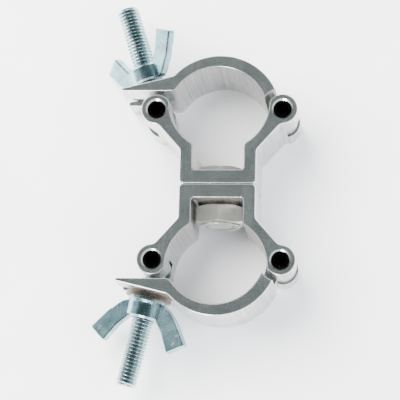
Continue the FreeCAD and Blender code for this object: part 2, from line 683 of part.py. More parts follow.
def washer_height(sheet, lean):
    """Distance from the pin to the washer, which rests on the lug by its outer edge."""
    slope = math.radians(sheet.lug_slope)
    across = sheet.lug_tip_x - sheet.pin_x
    up = lug_top(sheet, -sheet.lug_tip_x) - sheet.pin_y
    lug_distance = across * math.sin(slope) + up * math.cos(slope)
    off_square = math.radians(abs(lean - sheet.lug_slope))
    lifted = sheet.washer_radius * math.tan(off_square)
    return lug_distance / math.cos(off_square) + lifted + sheet.stack_play


def build_clamp(doc, sheet, clamp):
    """Every piece that one clamp has for itself."""
    frame = clamp_frame(sheet, clamp)
    lean = getattr(sheet, f"lean_{clamp}")
    washer_at = washer_height(sheet, lean)
    nut_at = washer_at + sheet.washer_thick + sheet.stack_play
    wing_turn = getattr(sheet, f"wing_turn_{clamp}")
    placed = [
        (make_saddle(doc, sheet, f"saddle_{clamp}"), FreeCAD.Placement()),
        (make_jaw(doc, sheet, f"jaw_{clamp}"), FreeCAD.Placement()),
        (make_spring_pin(doc, sheet, f"hinge_pin_{clamp}"), at_pin(sheet, 1)),
        (make_spring_pin(doc, sheet, f"eyebolt_pin_{clamp}"), at_pin(sheet, -1)),
        (make_eyebolt(doc, sheet, f"eyebolt_{clamp}"), along_screw(sheet, lean, 0)),
        (make_washer(doc, f"eyebolt_washer_{clamp}", "washer"), along_screw(sheet, lean, washer_at)),
        (make_wing_nut(doc, sheet, f"wing_nut_{clamp}"), along_screw(sheet, lean, nut_at, wing_turn)),
    ]
    for body, place in placed:
        body.Placement = frame.multiply(place)
    return [body for body, _ in placed]


def build_swivel(doc, sheet):
    """The bolt, washer and lock nut that hold the two feet together."""
    bolt = make_swivel_bolt(doc, sheet, "swivel_bolt")
    bolt.Placement = clamp_frame(sheet, "a")
    washer = make_washer(doc, "swivel_nut_washer", "nut_washer")
    nut = make_lock_nut(doc, sheet, "lock_nut")
    thread = f"{of('pivot_radius')} + {of('running_play')}"
    insert = make_ring(doc, "lock_nut_insert", of("insert_radius"), thread, of("insert_height"))
    nut_at = sheet.floor_thick + sheet.nut_washer_thick
    insert_at = nut_at + sheet.lock_nut_height - sheet.collar_lip - sheet.insert_height
    for body, height in ((washer, sheet.floor_thick), (nut, nut_at), (insert, insert_at)):
        body.Placement = clamp_frame(sheet, "b").multiply(along_y(height))
    return [bolt, washer, nut, insert]


def check(doc, bodies):
    """Stop if any object failed, or any piece isn't one valid solid."""
    for thing in doc.Objects:
        if "Invalid" in thing.State or "Error" in thing.State:
            raise RuntimeError(f"{thing.Label} failed: {thing.State}")
    for body in bodies:
        shape = body.Shape
        if shape.isNull() or not shape.isValid() or len(shape.Solids) != 1:
            raise RuntimeError(f"{body.Label} isn't one valid solid")


def main():
    doc = FreeCAD.newDocument("swivel_pipe_clamp")
    sheet = add_sheet(doc)
    bodies = []
    for clamp in CLAMPS:
        bodies += build_clamp(doc, sheet, clamp)
    bodies += build_swivel(doc, sheet)
    doc.recompute()
    check(doc, bodies)
    os.makedirs("parts", exist_ok=True)
    for body in bodies:
        body.Shape.exportStep(os.path.join("parts", f"{body.Label}.step"))
        print(body.Label, round(body.Shape.Volume, 1))


main()
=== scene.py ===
"""Swivel pipe clamp for stage lighting: the visible model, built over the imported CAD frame.

Two aluminium clamps stand back to back on a swivel bolt. Each closes on a tube with a hinged
jaw, a swinging eyebolt, a loose washer and a wing nut. Everything is in metres, in the CAD
frame: X across the clamps, Y along the swivel axis, Z along the tubes.
"""
import json
import logging
import math
from dataclasses import dataclass, field
from enum import Enum
from typing import Dict, List, Optional, Sequence, Tuple

import bmesh
import bpy
from mathutils import Matrix, Vector


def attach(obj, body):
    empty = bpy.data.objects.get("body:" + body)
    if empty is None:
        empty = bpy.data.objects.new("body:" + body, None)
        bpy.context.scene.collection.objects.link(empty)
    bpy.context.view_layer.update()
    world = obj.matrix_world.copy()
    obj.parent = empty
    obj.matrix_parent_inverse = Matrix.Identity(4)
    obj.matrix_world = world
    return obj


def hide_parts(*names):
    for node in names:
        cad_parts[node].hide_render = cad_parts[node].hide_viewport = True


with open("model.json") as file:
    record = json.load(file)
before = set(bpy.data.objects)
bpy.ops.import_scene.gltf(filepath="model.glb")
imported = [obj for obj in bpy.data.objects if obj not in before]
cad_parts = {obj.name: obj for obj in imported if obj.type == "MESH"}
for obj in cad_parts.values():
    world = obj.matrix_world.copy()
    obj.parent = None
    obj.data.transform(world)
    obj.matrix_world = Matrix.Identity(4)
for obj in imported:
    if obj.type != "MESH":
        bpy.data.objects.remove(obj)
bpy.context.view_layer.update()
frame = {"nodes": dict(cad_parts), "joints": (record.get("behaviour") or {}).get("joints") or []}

LOG = logging.getLogger("pipe_clamp")
MM = 0.001
ROUND_STEPS = 64

# The colour sockets of a Mix node, which has one set of sockets for each data type.
MIX_FACTOR = 0
MIX_FIRST = 6
MIX_SECOND = 7
MIX_RESULT = 2

Point = Tuple[float, float]


def linear(hex_code: str) -> Tuple[float, float, float, float]:
    """Turns an sRGB hex colour into the linear colour a shader expects.

    Args:
        hex_code: Six hex digits, with or without a leading '#'.

    Returns:
        Red, green, blue and alpha, linear.
    """
    digits = hex_code.lstrip("#")
    channels = []
    for start in (0, 2, 4):
        value = int(digits[start:start + 2], 16) / 255.0
        if value <= 0.04045:
            channels.append(value / 12.92)
        else:
            channels.append(((value + 0.055) / 1.055) ** 2.4)
    return (channels[0], channels[1], channels[2], 1.0)


def add_node(
    tree: bpy.types.NodeTree,
    kind: str,
    settings: Optional[Dict[str, object]] = None,
    values: Optional[Dict[object, object]] = None,
    links: Optional[Dict[object, bpy.types.NodeSocket]] = None,
) -> bpy.types.Node:
    """Adds one node with its settings, its constants and its incoming links.

    Args:
        tree: The node tree that gets the node.
        kind: Blender's type name of the node.
        settings: Properties of the node itself, by name.
        values: Constants on input sockets, by socket name or number.
        links: Output sockets that feed this node, by input name or number.

    Returns:
        The new node.
    """
    node = tree.nodes.new(kind)
    for name, value in (settings or {}).items():
        setattr(node, name, value)
    for name, value in (values or {}).items():
        node.inputs[name].default_value = value
    for name, source in (links or {}).items():
        tree.links.new(source, node.inputs[name])
    return node


def math_node(tree: bpy.types.NodeTree, operation: str, *terms: object) -> bpy.types.NodeSocket:
    """Adds a Math node.

    Args:
        tree: The node tree that gets the node.
        operation: Blender's name of the operation.
        terms: Numbers or output sockets, in the order of the inputs.

    Returns:
        The node's value socket.
    """
    node = tree.nodes.new("ShaderNodeMath")
    node.operation = operation
    for index, term in enumerate(terms):
        if isinstance(term, (int, float)):
            node.inputs[index].default_value = term
        else:
            tree.links.new(term, node.inputs[index])
    return node.outputs[0]


def mix_colours(
    tree: bpy.types.NodeTree, factor: bpy.types.NodeSocket, first: object, second: object
) -> bpy.types.NodeSocket:
    """Mixes two colours.

    Args:
        tree: The node tree.
        factor: 0 for the first colour, 1 for the second.
        first: A linear colour or a colour socket.
        second: A linear colour or a colour socket.

    Returns:
        The mixed colour.
    """
    node = tree.nodes.new("ShaderNodeMix")
    node.data_type = "RGBA"
    tree.links.new(factor, node.inputs[MIX_FACTOR])
    for index, colour in ((MIX_FIRST, first), (MIX_SECOND, second)):
        if isinstance(colour, tuple):
            node.inputs[index].default_value = colour
        else:
            tree.links.new(colour, node.inputs[index])
    return node.outputs[MIX_RESULT]


def joint_record(name: str) -> Dict[str, object]:
    """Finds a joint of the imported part.

    Args:
        name: The joint's name.

    Returns:
        Its record, with its axis and, for a hinge, its place in metres.
    """
    return next(joint for joint in frame["joints"] if joint["name"] == name)


class SlotName(Enum):
    """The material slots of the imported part."""

    ALUMINIUM = "extruded_aluminium"
    ZINC = "zinc_plated_steel"
    WASHER = "washer_steel"
    OXIDE = "black_oxide_steel"
    NYLON = "nylon"


class Clamp(Enum):
    """The two clamps: the upper one, and the one turned half a turn about X."""

    A = "a"
    B = "b"


# ---------------------------------------------------------------------------------- finishes


class Finish:
    """What every finish shares: a fresh material and the usual procedural building blocks."""

    def build(self) -> bpy.types.Material:
        """Builds the finish.

        Returns:
            The material.
        """
        raise NotImplementedError

    def start(self, name: str) -> Tuple[bpy.types.Material, bpy.types.NodeTree, bpy.types.Node]:
        """Makes an empty material.

        Args:
            name: The material's name.

        Returns:
            The material, its node tree and its Principled shader.
        """
        material = bpy.data.materials.new(name)
        material.use_nodes = True
        tree = material.node_tree
        tree.nodes.clear()
        shader = add_node(tree, "ShaderNodeBsdfPrincipled")
        add_node(tree, "ShaderNodeOutputMaterial", links={"Surface": shader.outputs["BSDF"]})
        return material, tree, shader

    def noise(
        self,
        tree: bpy.types.NodeTree,
        size_mm: Sequence[float],
        detail: float = 3.0,
        rough: float = 0.55,
    ) -> bpy.types.NodeSocket:
        """Adds noise in the piece's own coordinates.

        Args:
            tree: The node tree.
            size_mm: How long one swell of the noise is along X, Y and Z, in mm.
            detail: The number of octaves.
            rough: How strong the finer octaves are.

        Returns:
            The noise's factor, about 0.5 on average.
        """
        where = add_node(tree, "ShaderNodeTexCoord")
        scaled = add_node(
            tree,
            "ShaderNodeMapping",
            values={"Scale": Vector([1.0 / (size * MM) for size in size_mm])},
            links={"Vector": where.outputs["Object"]},
        )
        texture = add_node(
            tree,
            "ShaderNodeTexNoise",
            values={"Scale": 1.0, "Detail": detail, "Roughness": rough},
            links={"Vector": scaled.outputs["Vector"]},
        )
        return texture.outputs[0]

    def scratches(
        self, tree: bpy.types.NodeTree, spacing_mm: float, width: float, tilt: float
    ) -> bpy.types.NodeSocket:
        """Adds sparse handling scratches, all leaning the same way.

        Args:
            tree: The node tree.
            spacing_mm: The distance between neighbouring scratches, in mm.
            width: The part of a cell that a scratch fills.
            tilt: The lean of the scratches about the three axes, in radians.

        Returns:
            1 in a scratch and 0 outside.
        """
        where = add_node(tree, "ShaderNodeTexCoord")
        long_cell = 9.0
        stretched = add_node(
            tree,
            "ShaderNodeMapping",
            values={
                "Rotation": Vector((tilt, tilt * 0.6, tilt * 1.7)),
                "Scale": Vector([
                    1.0 / (spacing_mm * MM),
                    1.0 / (spacing_mm * long_cell * MM),
                    1.0 / (spacing_mm * 2.0 * MM),
                ]),
            },
            links={"Vector": where.outputs["Object"]},
        )
        cells = add_node(
            tree,
            "ShaderNodeTexVoronoi",
            settings={"feature": "DISTANCE_TO_EDGE"},
            values={"Scale": 1.0},
            links={"Vector": stretched.outputs["Vector"]},
        )
        line = add_node(
            tree,
            "ShaderNodeMapRange",
            values={"From Min": width, "From Max": width * 0.3, "To Min": 0.0, "To Max": 1.0},
            links={"Value": cells.outputs["Distance"]},
        )
        patchy = math_node(tree, "GREATER_THAN", self.noise(tree, (6.0, 6.0, 6.0), 1.0), 0.54)
        return math_node(tree, "MULTIPLY", line.outputs[0], patchy)

    def edge_wear(self, tree: bpy.types.NodeTree, reach_mm: float) -> bpy.types.NodeSocket:
        """Adds a mask of the corners, where handling polishes the metal; on the zinc it also places a
        painted highlight.

        Args:
            tree: The node tree.
            reach_mm: How far the wear reaches from a corner, in mm.

        Returns:
            About 1 on a corner and 0 on a flat.
        """
        rounded = add_node(
            tree, "ShaderNodeBevel", settings={"samples": 4}, values={"Radius": reach_mm * MM}
        )
        plain = add_node(tree, "ShaderNodeNewGeometry")
        agree = add_node(
            tree,
            "ShaderNodeVectorMath",
            settings={"operation": "DOT_PRODUCT"},
            links={0: rounded.outputs["Normal"], 1: plain.outputs["Normal"]},
        )
        mask = add_node(
            tree,
            "ShaderNodeMapRange",
            values={"From Min": 0.995, "From Max": 0.86, "To Min": 0.0, "To Max": 1.0},
            links={"Value": agree.outputs["Value"]},
        )
        return mask.outputs[0]

    def spread(
        self, tree: bpy.types.NodeTree, source: bpy.types.NodeSocket, low: float, high: float
    ) -> bpy.types.NodeSocket:
        """Maps the middle of a noise onto a range.

        Args:
            tree: The node tree.
            source: The noise.
            low: The result where the noise is low.
            high: The result where the noise is high.

        Returns:
            The mapped value.
        """
        node = add_node(
            tree,
            "ShaderNodeMapRange",
            values={"From Min": 0.3, "From Max": 0.7, "To Min": low, "To Max": high},
            links={"Value": source},
        )
        return node.outputs[0]

    def relief(
        self,
        tree: bpy.types.NodeTree,
        shader: bpy.types.Node,
        heights: Sequence[Tuple[bpy.types.NodeSocket, float]],
    ) -> None:
        """Chains bumps into the shader's normal.

        Args:
            tree: The node tree.
            shader: The Principled shader.
            heights: Pairs of a height from 0 to 1 and its real depth in mm.
        """
        normal = None
        for height, depth_mm in heights:
            bump = add_node(
                tree,
                "ShaderNodeBump",
                values={"Distance": depth_mm * MM, "Strength": 1.0},
                links={"Height": height},
            )
            if normal is not None:
                tree.links.new(normal, bump.inputs["Normal"])
            normal = bump.outputs["Normal"]
        tree.links.new(normal, shader.inputs["Normal"])


@dataclass(frozen=True)
class Aluminium(Finish):
    """Extruded aluminium, sawn to length and tumbled."""

    slot: SlotName = SlotName.ALUMINIUM
    sawn: str = "#f2f6f4"
    sawn_dark: str = "#8d9492"
    drawn: str = "#e6e8e9"
    bore: str = "#bdb6ae"
    # Near white for the painted highlight on the rounded rims, and for the scratches.
    scratch_and_rim_highlight: str = "#f6f8f8"

    def build(self) -> bpy.types.Material:
        """Builds the finish.

        Returns:
            The material.
        """
        # A 6000-series extrusion cut into slices and tumbled. The two sawn ends stay grey and
        # grainy, the drawn sides keep faint die lines along the tube, and the rounded rims get a
        # painted highlight, near white where the normal turns partly towards Z: that is what outlines
        # every edge.
        material, tree, shader = self.start("sawn_extruded_aluminium")
        where = add_node(tree, "ShaderNodeTexCoord")
        parts = add_node(
            tree, "ShaderNodeSeparateXYZ", links={"Vector": where.outputs["Normal"]}
        )
        facing = math_node(tree, "ABSOLUTE", parts.outputs["Z"])
        end_face = add_node(
            tree,
            "ShaderNodeMapRange",
            values={"From Min": 0.93, "From Max": 0.985},
            links={"Value": facing},
        ).outputs[0]
        # The rounded rims between the sawn ends and the sides, found from the normal: the mask of a
        # painted highlight.
        rounding = math_node(
            tree,
            "MULTIPLY",
            add_node(
                tree,
                "ShaderNodeMapRange",
                values={"From Min": 0.12, "From Max": 0.4},
                links={"Value": facing},
            ).outputs[0],
            math_node(tree, "SUBTRACT", 1.0, end_face),
        )
        grain = self.noise(tree, (0.35, 0.35, 0.35), 4.0, 0.7)
        cloud = self.noise(tree, (7.0, 7.0, 7.0), 2.0)
        # Real die lines are much finer; these are 0.25 mm apart so that they still show.
        lines = self.noise(tree, (0.25, 0.25, 40.0), 2.0)
        ends = mix_colours(
            tree, self.spread(tree, grain, 0.0, 1.0), linear(self.sawn_dark), linear(self.sawn)
        )
        sides = mix_colours(
            tree, self.spread(tree, lines, 0.0, 1.0), linear(self.bore), linear(self.drawn)
        )
        body = mix_colours(tree, end_face, sides, ends)
        # Painted highlight: the rounded rims are mixed towards near white.
        body = mix_colours(tree, math_node(tree, "MULTIPLY", rounding, 0.9), body, linear(self.scratch_and_rim_highlight))
        nicks = self.scratches(tree, spacing_mm=3.1, width=0.012, tilt=0.5)
        body = mix_colours(tree, math_node(tree, "MULTIPLY", nicks, 0.7), body, linear(self.scratch_and_rim_highlight))
        tree.links.new(body, shader.inputs["Base Color"])
        shader.inputs["Metallic"].default_value = 1.0
        # The mix works on grey levels here: the sides' roughness, then the sawn ends'.
        rough = mix_colours(
            tree,
            end_face,
            self.spread(tree, lines, 0.26, 0.38),
            self.spread(tree, grain, 0.36, 0.5),
        )
        clouded = math_node(tree, "ADD", rough, self.spread(tree, cloud, -0.04, 0.05))
        tree.links.new(
            math_node(tree, "SUBTRACT", clouded, math_node(tree, "MULTIPLY", rounding, 0.12)),
            shader.inputs["Roughness"],
        )
        sawn_height = math_node(tree, "MULTIPLY", grain, end_face)
        drawn_height = math_node(
            tree, "MULTIPLY", lines, math_node(tree, "SUBTRACT", 1.0, end_face)
        )
        groove = math_node(tree, "SUBTRACT", 1.0, nicks)
        self.relief(
            tree, shader, ((sawn_height, 0.05), (drawn_height, 0.012), (groove, 0.015))
        )
        return material


@dataclass(frozen=True)
class ZincPlate(Finish):
    """Steel with a clear blue zinc plating."""

    slot: SlotName = SlotName.ZINC
    bright: str = "#a9cfd7"
    shaded: str = "#6d939c"
    # Near white for rubbed corners and scratches, and for a painted highlight along the edges.
    worn: str = "#f8fafa"
    # Dark teal painted shade for the thread roots and inside corners.
    crevice_shade: str = "#1d3136"
    name: str = "zinc_plate"
    speckle_mm: float = 0.3
    # How strongly that painted shade darkens them.
    crevice_shade_strength: float = 0.35
    rough_low: float = 0.13
    rough_high: float = 0.26

    def build(self) -> bpy.types.Material:
        """Builds the finish.

        Returns:
            The material.
        """
        # Blue-passivated zinc on forged or rolled steel. The plating is thin and fairly bright,
        # so it mirrors the room softly with a cold tint; corners are painted white, partly as rubbed
        # plating and partly as a painted highlight, and handling leaves a fine pale speckle of
        # scratches.
        material, tree, shader = self.start(self.name)
        cloud = self.noise(tree, (5.0, 5.0, 5.0), 3.0)
        speckle = self.noise(tree, (self.speckle_mm, self.speckle_mm, self.speckle_mm), 4.0, 0.7)
        # The corner mask: rubbed plating, and a painted highlight along the edges.
        wear = self.edge_wear(tree, 0.45)
        nicks = self.scratches(tree, spacing_mm=1.6, width=0.02, tilt=0.8)
        colour = mix_colours(
            tree, self.spread(tree, cloud, 0.0, 1.0), linear(self.shaded), linear(self.bright)
        )
        wear_marks_and_glint = math_node(tree, "MAXIMUM", math_node(tree, "MULTIPLY", nicks, 0.8), wear)
        # Fine pale speckle, where the plating is scuffed.
        scuffs = add_node(
            tree,
            "ShaderNodeMapRange",
            values={"From Min": 0.56, "From Max": 0.68, "To Min": 0.0, "To Max": 0.55},
            links={"Value": speckle},
        ).outputs[0]
        wear_marks_and_glint = math_node(tree, "MAXIMUM", wear_marks_and_glint, scuffs)
        # Near white on scratches, scuffs and corners; on the corners it is partly a painted highlight.
        colour = mix_colours(tree, wear_marks_and_glint, colour, linear(self.worn))
        # Painted shade: the colour darkens towards dark teal in the thread roots and inside corners,
        # where ambient occlusion finds them.
        hidden = add_node(
            tree, "ShaderNodeAmbientOcclusion", settings={"samples": 4},
            values={"Distance": 0.8 * MM},
        )
        crevice_shade_mask = add_node(
            tree,
            "ShaderNodeMapRange",
            values={"From Min": 0.85, "From Max": 0.35, "To Min": 0.0, "To Max": self.crevice_shade_strength},
            links={"Value": hidden.outputs["AO"]},
        ).outputs[0]
        colour = mix_colours(tree, crevice_shade_mask, colour, linear(self.crevice_shade))
        tree.links.new(colour, shader.inputs["Base Color"])
        shader.inputs["Metallic"].default_value = 1.0
        rough = math_node(
            tree,
            "ADD",
            self.spread(tree, cloud, self.rough_low, self.rough_high),
            self.spread(tree, speckle, -0.04, 0.1),
        )
        tree.links.new(rough, shader.inputs["Roughness"])
        groove = math_node(tree, "SUBTRACT", 1.0, nicks)
        self.relief(tree, shader, ((speckle, 0.012), (groove, 0.01)))
        return material


@dataclass(frozen=True)
class WasherSteel(Finish):
    """Stamped washer steel with a dull plating."""

    slot: SlotName = SlotName.WASHER
    base: str = "#8f8578"
    dark: str = "#524b43"
    worn: str = "#d9d4cc"

    def build(self) -> bpy.types.Material:
        """Builds the finish.

        Returns:
            The material.
        """
        # A punched washer whose plating has gone dull and slightly warm: stained grey-brown,
        # with fine grit in the surface and a brighter punched rim.
        material, tree, shader = self.start("washer_steel_dull")
        stain = self.noise(tree, (3.0, 3.0, 3.0), 4.0, 0.6)
        grit = self.noise(tree, (0.25, 0.25, 0.25), 3.0, 0.6)
        wear = self.edge_wear(tree, 0.25)
        colour = mix_colours(
            tree, self.spread(tree, stain, 0.0, 1.0), linear(self.dark), linear(self.base)
        )
        rubbed = math_node(tree, "MULTIPLY", wear, 0.8)
        colour = mix_colours(tree, rubbed, colour, linear(self.worn))
        tree.links.new(colour, shader.inputs["Base Color"])
        shader.inputs["Metallic"].default_value = 1.0
        tree.links.new(self.spread(tree, stain, 0.34, 0.52), shader.inputs["Roughness"])
        self.relief(tree, shader, ((grit, 0.012),))
        return material


@dataclass(frozen=True)
class BlackOxide(Finish):
    """Spring steel blackened by heat and oil."""

    slot: SlotName = SlotName.OXIDE
    base: str = "#101112"
    brown: str = "#1c1815"
    worn: str = "#4a4b4d"

    def build(self) -> bpy.types.Material:
        """Builds the finish.

        Returns:
            The material.
        """
        # Rolled spring pins, hardened and oiled: near black with a brownish bloom, worn to grey
        # steel on the rim that was hammered home.
        material, tree, shader = self.start("black_oxide")
        bloom = self.noise(tree, (2.0, 2.0, 2.0), 3.0)
        grit = self.noise(tree, (0.3, 0.3, 0.3), 3.0)
        wear = self.edge_wear(tree, 0.2)
        colour = mix_colours(
            tree, self.spread(tree, bloom, 0.0, 1.0), linear(self.base), linear(self.brown)
        )
        rubbed = math_node(tree, "MULTIPLY", wear, 0.6)
        colour = mix_colours(tree, rubbed, colour, linear(self.worn))
        tree.links.new(colour, shader.inputs["Base Color"])
        shader.inputs["Metallic"].default_value = 1.0
        tree.links.new(self.spread(tree, bloom, 0.36, 0.55), shader.inputs["Roughness"])
        self.relief(tree, shader, ((grit, 0.01),))
        return material


@dataclass(frozen=True)
class Nylon(Finish):
    """The locking ring of the nut."""

    slot: SlotName = SlotName.NYLON
    base: str = "#dfe3df"
    deep: str = "#c3c9c4"

    def build(self) -> bpy.types.Material:
        """Builds the finish.

        Returns:
            The material.
        """
        # Natural nylon pressed under the collar's lip: milky, a little translucent, with the
        # soft unevenness of a moulding.
        material, tree, shader = self.start("nylon_ring")
        cloud = self.noise(tree, (2.5, 2.5, 2.5), 2.0)
        fine = self.noise(tree, (0.3, 0.3, 0.3), 2.0)
        colour = mix_colours(
            tree, self.spread(tree, cloud, 0.0, 1.0), linear(self.deep), linear(self.base)
        )
        tree.links.new(colour, shader.inputs["Base Color"])
        tree.links.new(self.spread(tree, cloud, 0.38, 0.5), shader.inputs["Roughness"])
        shader.inputs["Subsurface Weight"].default_value = 0.15
        shader.inputs["Subsurface Scale"].default_value = 0.6 * MM
        self.relief(tree, shader, ((fine, 0.01),))
        return material


@dataclass(frozen=True)
class PaleCard(Finish):
    """The painted board the clamp lies on."""

    base: str = "#f4f4f6"
    deep: str = "#ececef"

    def build(self) -> bpy.types.Material:
        """Builds the finish.

        Returns:
            The material.
        """
        # Matt painted board with a faint roller texture, so that the floor is not a flat colour.
        material, tree, shader = self.start("pale_card")
        cloud = self.noise(tree, (60.0, 60.0, 60.0), 2.0)
        roller = self.noise(tree, (1.2, 1.2, 1.2), 2.0)
        colour = mix_colours(
            tree, self.spread(tree, cloud, 0.0, 1.0), linear(self.deep), linear(self.base)
        )
        tree.links.new(colour, shader.inputs["Base Color"])
        shader.inputs["Roughness"].default_value = 0.8
        self.relief(tree, shader, ((roller, 0.02),))
        return material


class Paintbox:
    """Builds each finish once and hands it out."""

    def __init__(self) -> None:
        """Starts empty."""
        self.made: Dict[Finish, bpy.types.Material] = {}

    def get(self, finish: Finish) -> bpy.types.Material:
        """Gives the material of a finish.

        Args:
            finish: The finish.

        Returns:
            Its material, built at the first call.
        """
        if finish not in self.made:
            self.made[finish] = finish.build()
        return self.made[finish]

    def paint(self, node: str, finish: Finish) -> None:
        """Puts a finish on a CAD node through its material slots.

        Args:
            node: The node's name in the frame.
            finish: The finish it gets.
        """
        piece = frame["nodes"][node]
        for holder in piece.material_slots:
            if holder.name != finish.slot.value:
                raise ValueError(f"{node} has slot {holder.name}, not {finish.slot.value}")
            holder.material = self.get(finish)
        LOG.info("finished %s: %s, %d faces", node, self.get(finish).name,
                 len(piece.data.polygons))


# ------------------------------------------------------------------------------ mesh helpers


def revolve(profile: Sequence[Point], steps: int) -> bmesh.types.BMesh:
    """Turns a closed outline about the Y axis.

    Args:
        profile: Corners as (radius, height), in mm. Corners on the axis close the solid.
        steps: The number of steps round.

    Returns:
        The solid as a bmesh, in metres, with its doubles merged and its normals outward.
    """
    mesh = bmesh.new()
    rings = []
    for step in range(steps):
        turn = 2.0 * math.pi * step / steps
        rings.append([
            mesh.verts.new((
                radius * MM * math.cos(turn), height * MM, radius * MM * math.sin(turn)
            ))
            for radius, height in profile
        ])
    count = len(profile)
    for step in range(steps):
        here = rings[step]
        following = rings[(step + 1) % steps]
        for index in range(count):
            after = (index + 1) % count
            if profile[index][0] == 0.0 and profile[after][0] == 0.0:
                continue
            mesh.faces.new((here[index], here[after], following[after], following[index]))
    bmesh.ops.remove_doubles(mesh, verts=mesh.verts, dist=1e-6)
    flat = [face for face in mesh.faces if face.calc_area() < 1e-14]
    bmesh.ops.delete(mesh, geom=flat, context="FACES")
    bmesh.ops.recalc_face_normals(mesh, faces=mesh.faces)
    return mesh


def rounded(corners: Sequence[Tuple[float, float, float]], steps: int = 4) -> List[Point]:
    """Rounds the corners of a closed outline.

    Args:
        corners: (radius, height, rounding) for each corner, in mm.
        steps: The number of steps in each rounding.

    Returns:
        The outline's points.
    """
    points: List[Point] = []
    count = len(corners)
    for index, (x, y, size) in enumerate(corners):
        if size == 0.0:
            points.append((x, y))
            continue
        here = Vector((x, y))
        back = (Vector(corners[index - 1][:2]) - here).normalized()
        ahead = (Vector(corners[(index + 1) % count][:2]) - here).normalized()
        for step in range(steps + 1):
            share = step / steps
            # A quadratic curve from one edge to the other, with the corner as its handle.
            first = here + back * size * (1.0 - share) ** 2
            point = first + ahead * size * share ** 2
            points.append((point.x, point.y))
    return points


def to_object(mesh: bmesh.types.BMesh, name: str) -> bpy.types.Object:
    """Makes an object at the origin from a bmesh.

    Args:
        mesh: The bmesh, which is freed.
        name: The object's name.

    Returns:
        The object, linked to the scene.
    """
    data = bpy.data.meshes.new(name)
    mesh.to_mesh(data)
    mesh.free()
    piece = bpy.data.objects.new(name, data)
    bpy.context.scene.collection.objects.link(piece)
    return piece


def smooth_by_angle(piece: bpy.types.Object, degrees: float) -> None:
    """Shades a mesh smooth, with hard edges where it folds by more than an angle.

    Args:
        piece: The object.
        degrees: The largest fold that still looks smooth.
    """
    for face in piece.data.polygons:
        face.use_smooth = True
    piece.data.set_sharp_from_angle(angle=math.radians(degrees))


# ------------------------------------------------------------------------------- screw thread


@dataclass(frozen=True)
class ThreadForm:
    """A metric thread, in mm.

    crest and root say where the triangle wave from 0 to 1 is cut flat.
    """

    radius: float = 4.0
    pitch: float = 1.25
    depth: float = 0.72
    chamfer: float = 0.9
    crest: float = 0.13
    root: float = 0.8
    around: int = 48
    rows_per_pitch: int = 10


